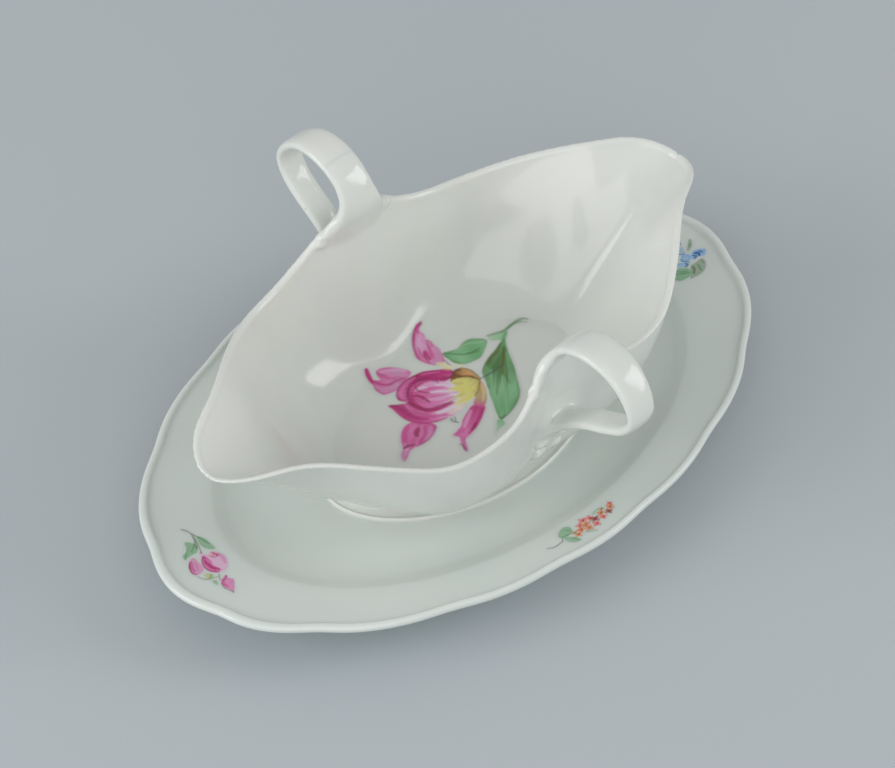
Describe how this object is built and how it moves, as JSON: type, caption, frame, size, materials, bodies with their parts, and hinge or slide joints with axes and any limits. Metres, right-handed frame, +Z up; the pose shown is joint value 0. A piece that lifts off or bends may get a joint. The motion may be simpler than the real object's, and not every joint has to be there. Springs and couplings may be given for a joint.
{
  "type": "gravy boat",
  "caption": "Porcelain gravy boat with a pouring spout at each end and two ribbon handles, fixed on an oval scalloped stand dish.",
  "frame": {"origin": "on the table plane, under the centre of the stand", "axes": "+X along the stand from spout to spout, +Y from one handle to the other, +Z up"},
  "size_m": [0.2626, 0.1759, 0.1],
  "materials": {
    "stand_glaze": "white glazed hard-paste porcelain, glossy, faint green-grey where the glaze pools",
    "bowl_glaze": "white glazed hard-paste porcelain, glossy, warm white",
    "handle_glaze": "white glazed hard-paste porcelain, glossy",
    "foot_glaze": "white glazed hard-paste porcelain, glossy",
    "bare_foot": "unglazed ground porcelain biscuit, matt"
  },
  "bodies": {
    "root": {"stand_dish": "stand_glaze", "stand_foot_ring": "bare_foot", "foot_collar": "foot_glaze", "boat_bowl": "bowl_glaze", "far_handle_strap": "handle_glaze", "far_handle_leaf": "handle_glaze", "near_handle_strap": "handle_glaze", "near_handle_leaf": "handle_glaze"}
  },
  "joints": []
}
